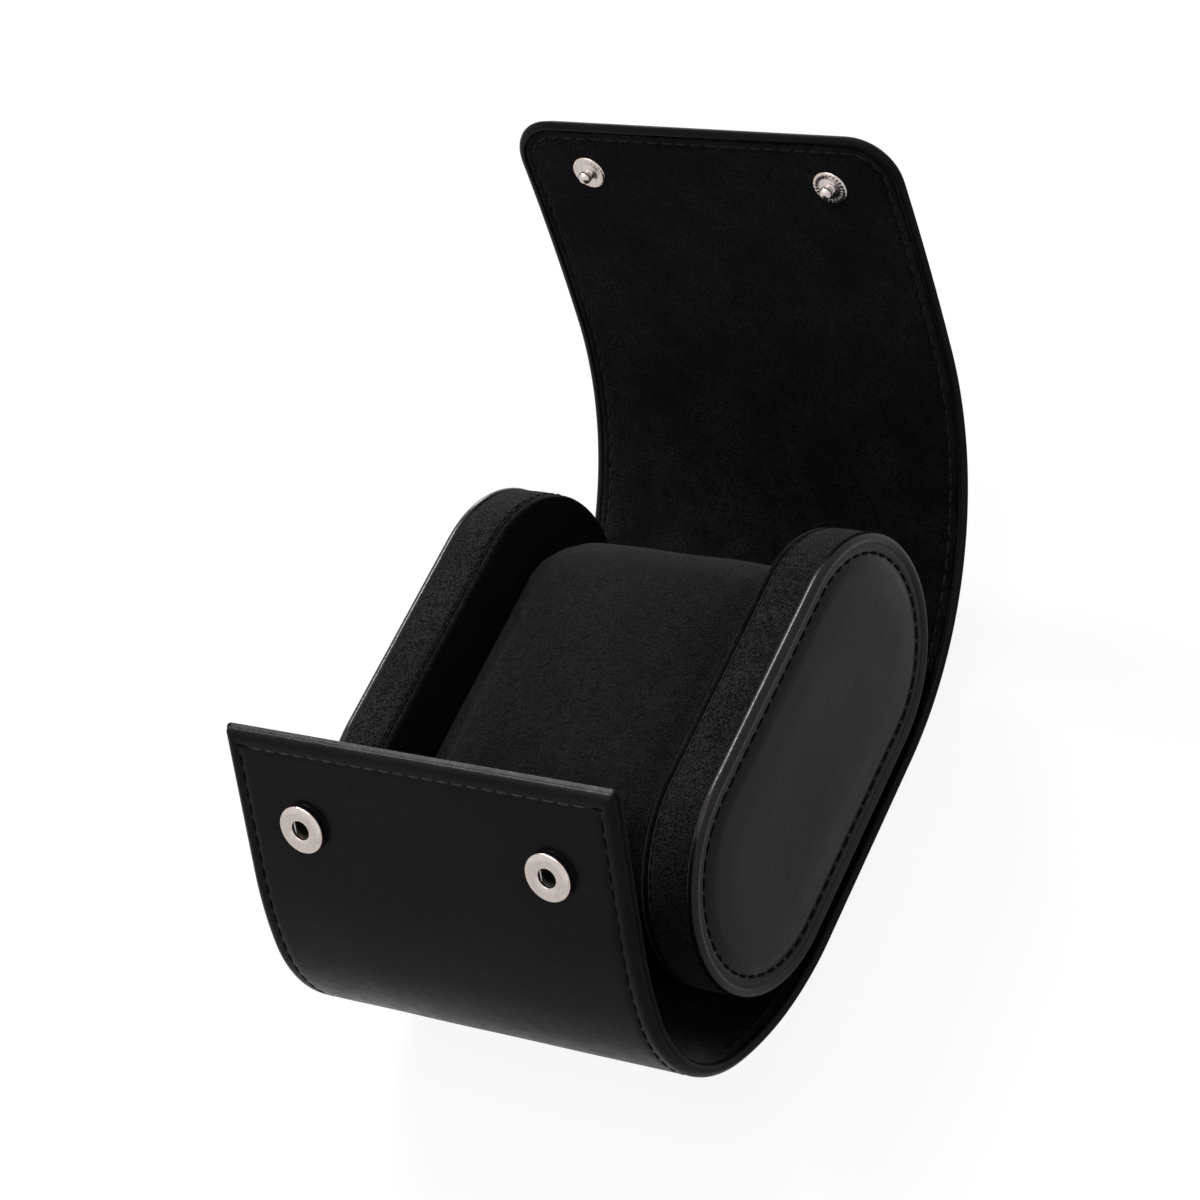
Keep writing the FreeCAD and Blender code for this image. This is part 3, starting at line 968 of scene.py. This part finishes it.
def makePillow(look):
    pillow = pillowBlock(look)
    swellPillow(pillow, look)
    smoothPillow(pillow, look["levels"])
    half = (look["length"] - look["height"]) / 2
    for vertex in pillow.data.vertices:
        x, y, z = vertex.co / mm
        away = Vector((0.0, y - max(-half, min(half, y)), z - look["centre"]))
        if away.length > 1e-6:
            seams = (-look["seam"], look["seam"])
            dip = look["seamDip"] * sum(bell(x, seam, look["seamWidth"]) for seam in seams)
            soft = look["ripple"] * ripple(x + y, z - y, look["rippleSize"], look["rippleSeed"])
            vertex.co += away.normalized() * (soft - dip) * mm
        vertex.co.x = max(-look["halfWidth"], min(look["halfWidth"], vertex.co.x / mm)) * mm
    mesh = pillow.data
    mesh.materials.clear()
    mesh.materials.append(pillowSuede)
    mesh.polygons.foreach_set("use_smooth", [True] * len(mesh.polygons))
    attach(pillow, "pillow")
    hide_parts("pillow_core", "pillow_cover", "pillow_left_end", "pillow_right_end")
    print("pillow made,", len(mesh.vertices), "points")


makePillow(pillowLook)


# Snaps, turned on their own axis and set on the wrap
snapLook = {
    "segments": 72,
    "socket": [(1.62, 0.3), (2.9, 0.34), (2.95, 0.5), (2.95, 0.95), (2.85, 1.02), (2.0, 1.02), (1.93, 1.08),
               (1.93, 1.36), (1.97, 1.5), (2.08, 1.58), (2.25, 1.6), (2.9, 1.63), (3.6, 1.64), (4.3, 1.6),
               (4.62, 1.5), (4.79, 1.34), (4.85, 1.12), (4.83, 0.92), (4.66, 0.76), (4.4, 0.66), (4.28, 0.5),
               (4.25, -0.7)],
    "stud": [(0.0, 3.1), (0.4, 3.04), (0.75, 2.87), (1.05, 2.6), (1.25, 2.25), (1.35, 1.8), (1.3, 1.4),
             (1.12, 1.1), (1.02, 0.95), (1.05, 0.86), (1.45, 0.7), (1.95, 0.56), (2.1, 0.5), (2.5, 0.46),
             (2.7, 0.5), (3.1, 0.5), (3.4, 0.42), (3.56, 0.28), (3.6, 0.1), (3.58, -0.1), (0.0, -0.1)],
    "wellShadeRadius": 3.0,     # painted shade: darker nickel inside a socket's well
    "wellShadeTop": 1.42,
    "ribs": 24,
    "ribDepth": 0.03,
    "ribRadii": (2.3, 3.5),
    "studAlong": 18.5,      # past the lid's last fold
}


def turnProfile(bm, profile, place, segments, look, ribbed=False, hollow=False):
    low, high = look["ribRadii"]
    rows = []
    for radius, height in profile:
        row = []
        for k in range(segments):
            turn = 2 * math.pi * k / segments
            lift = look["ribDepth"] * math.cos(look["ribs"] * turn) if ribbed and low < radius < high else 0.0
            spot = Vector((radius * math.cos(turn), radius * math.sin(turn), height + lift))
            row.append(place @ (spot * mm))
        rows.append(row)
    addGrid(bm, rows, hollow, True)


def snapPlace(side, x, along, depth, outward):
    heading = wrapHeading(side, along)
    axis = Vector((0.0, side * math.sin(heading), -math.cos(heading))) * outward
    across = Vector((1.0, 0.0, 0.0))
    turn = Matrix((across, axis.cross(across), axis)).transposed().to_4x4()
    return Matrix.Translation(wrapPoint(side, x, along, depth)) @ turn


def paintWellShade(sockets, look):
    # Painted shade: faces inside each socket's well take the darker nickel
    sockets.data.materials.append(shadedWellNickel)
    along = wrapEnd[-1] - socketPlace["fromEdge"]
    for x in (-socketPlace["x"], socketPlace["x"]):
        local = snapPlace(-1, x, along, wrapPath["thick"], 1).inverted()
        for face in sockets.data.polygons:
            spot = local @ face.center / mm
            if math.hypot(spot.x, spot.y) < look["wellShadeRadius"] and spot.z < look["wellShadeTop"]:
                face.material_index = 1


def makeSnaps(look):
    segments = look["segments"]
    bm = bmesh.new()
    along = wrapEnd[-1] - socketPlace["fromEdge"]
    for x in (-socketPlace["x"], socketPlace["x"]):
        place = snapPlace(-1, x, along, wrapPath["thick"], 1)
        turnProfile(bm, look["socket"], place, segments, look, hollow=True)
    sockets = addObject("snap_sockets", finishMesh("snap_sockets", bm), nickel)
    paintWellShade(sockets, look)
    bm = bmesh.new()
    along = lidStarts[-1] + look["studAlong"]
    for x in (-socketPlace["x"], socketPlace["x"]):
        turnProfile(bm, look["stud"], snapPlace(1, x, along, 0.0, -1), segments * 2, look, ribbed=True)
    studs = addObject("snap_studs", finishMesh("snap_studs", bm), nickel)
    for piece, body, node in ((sockets, "flap_panel", "flap_sockets"), (studs, "lid_front", "lid_studs")):
        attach(piece, body)
        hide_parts(node)
    print("snaps made")


makeSnaps(snapLook)

# Pieces of the frame that stay: hidden boards, cores and posts, and the spring wires
for nodeName, node in frame["nodes"].items():
    finish = boardFibre
    if nodeName.endswith("_springs"):
        finish = springSteel
    # posts and rivets take the darker socket nickel, painted shade
    elif nodeName.endswith(("_posts", "_rivets")):
        finish = shadedWellNickel
    node.data.materials.clear()
    node.data.materials.append(finish)

# Stage: pale floor, soft studio light and the camera
stageLook = {
    "floorSize": 6.0,
    "floorDrop": 0.0004,
    "floorColor": (0.75, 0.75, 0.75),
    "floorRough": 0.9,
    "floorShine": 0.1,
    "floorGlow": 1.08,
    "whiteShare": 0.85,
    "floorInGloss": 0.6,   # floor's whiteness in reflections
    "worldLight": 0.12,
    "lights": [            # name, place, target, size and watts
        ("key_light", (-0.55, 0.5, 0.8), (0.0, 0.0, 0.04), (0.28, 0.28), 8.0),
        ("rim_light", (-0.8, 1.15, 0.22), (0.0, 0.0, 0.06), (0.35, 0.3), 5.0),
        ("top_light", (-0.1, -0.1, 1.1), (0.0, 0.0, 0.03), (0.8, 0.8), 4.0),
    ],
}


def seenDirectly(tree, inGloss=1.0):
    path = tree.nodes.new("ShaderNodeLightPath")
    gloss = tree.nodes.new("ShaderNodeMath")
    gloss.operation = "MULTIPLY"
    gloss.inputs[1].default_value = inGloss
    tree.links.new(path.outputs["Is Glossy Ray"], gloss.inputs[0])
    total = path.outputs["Is Camera Ray"]
    for ray in (gloss.outputs[0], path.outputs["Is Transmission Ray"]):
        join = tree.nodes.new("ShaderNodeMath")
        join.operation = "MAXIMUM"
        tree.links.new(total, join.inputs[0])
        tree.links.new(ray, join.inputs[1])
        total = join.outputs[0]
    return total


def makeFloor(look):
    material = bpy.data.materials.new("pale_floor")
    material.use_nodes = True
    tree = material.node_tree
    shader = tree.nodes["Principled BSDF"]
    shader.inputs["Base Color"].default_value = (*look["floorColor"], 1.0)
    shader.inputs["Roughness"].default_value = look["floorRough"]
    shader.inputs["Specular IOR Level"].default_value = look["floorShine"]
    glow = tree.nodes.new("ShaderNodeEmission")
    glow.inputs["Strength"].default_value = look["floorGlow"]
    glow.inputs["Color"].default_value = (1.0, 1.0, 1.0, 1.0)
    share = tree.nodes.new("ShaderNodeMath")
    share.operation = "MULTIPLY"
    share.inputs[1].default_value = look["whiteShare"]
    tree.links.new(seenDirectly(tree, look["floorInGloss"]), share.inputs[0])
    mix = tree.nodes.new("ShaderNodeMixShader")
    tree.links.new(share.outputs[0], mix.inputs[0])
    tree.links.new(shader.outputs[0], mix.inputs[1])
    tree.links.new(glow.outputs[0], mix.inputs[2])
    tree.links.new(mix.outputs[0], tree.nodes["Material Output"].inputs["Surface"])
    mesh = bpy.data.meshes.new("floor")
    half = look["floorSize"] / 2
    corners = [(-half, -half, 0), (half, -half, 0), (half, half, 0), (-half, half, 0)]
    mesh.from_pydata(corners, [], [(0, 1, 2, 3)])
    floor = addObject("floor", mesh, material, smooth=False)
    floor.location.z = -look["floorDrop"]


def makeWorld(look):
    world = bpy.data.worlds.new("studio")
    bpy.context.scene.world = world
    world.use_nodes = True
    tree = world.node_tree
    light = tree.nodes["Background"]
    light.inputs["Color"].default_value = (1.0, 1.0, 1.0, 1.0)
    light.inputs["Strength"].default_value = look["worldLight"]
    white = tree.nodes.new("ShaderNodeBackground")
    white.inputs["Color"].default_value = (1.0, 1.0, 1.0, 1.0)
    white.inputs["Strength"].default_value = 1.0
    mix = tree.nodes.new("ShaderNodeMixShader")
    tree.links.new(seenDirectly(tree), mix.inputs[0])
    tree.links.new(light.outputs[0], mix.inputs[1])
    tree.links.new(white.outputs[0], mix.inputs[2])
    tree.links.new(mix.outputs[0], tree.nodes["World Output"].inputs["Surface"])


def addSoftbox(name, place, target, size, power):
    lamp = bpy.data.lights.new(name, "AREA")
    lamp.shape = "RECTANGLE"
    lamp.size, lamp.size_y = size
    lamp.energy = power
    box = bpy.data.objects.new(name, lamp)
    bpy.context.scene.collection.objects.link(box)
    box.location = place
    box.rotation_euler = (Vector(target) - Vector(place)).to_track_quat("-Z", "Y").to_euler()


cameraLook = {
    "place": (387.14, -296.09, 545.86),
    "back": (0.556, -0.4425, 0.7038),
    "up": (-0.116, 0.797, 0.593),
    "lens": 110.3,
    "sensor": 36.0,
    "clip": (0.01, 20.0),
}


def makeCamera(look):
    data = bpy.data.cameras.new("camera")
    data.sensor_fit = "HORIZONTAL"
    data.sensor_width = look["sensor"]
    data.lens = look["lens"]
    data.clip_start, data.clip_end = look["clip"]
    camera = bpy.data.objects.new("camera", data)
    bpy.context.scene.collection.objects.link(camera)
    back = Vector(look["back"]).normalized()
    right = Vector(look["up"]).cross(back).normalized()
    turn = Matrix((right, back.cross(right), back)).transposed().to_4x4()
    camera.matrix_world = Matrix.Translation(Vector(look["place"]) * mm) @ turn
    bpy.context.scene.camera = camera


makeFloor(stageLook)
makeWorld(stageLook)
for softbox in stageLook["lights"]:
    addSoftbox(*softbox)
makeCamera(cameraLook)
bpy.context.scene.view_settings.view_transform = "Standard"
print("stage set")
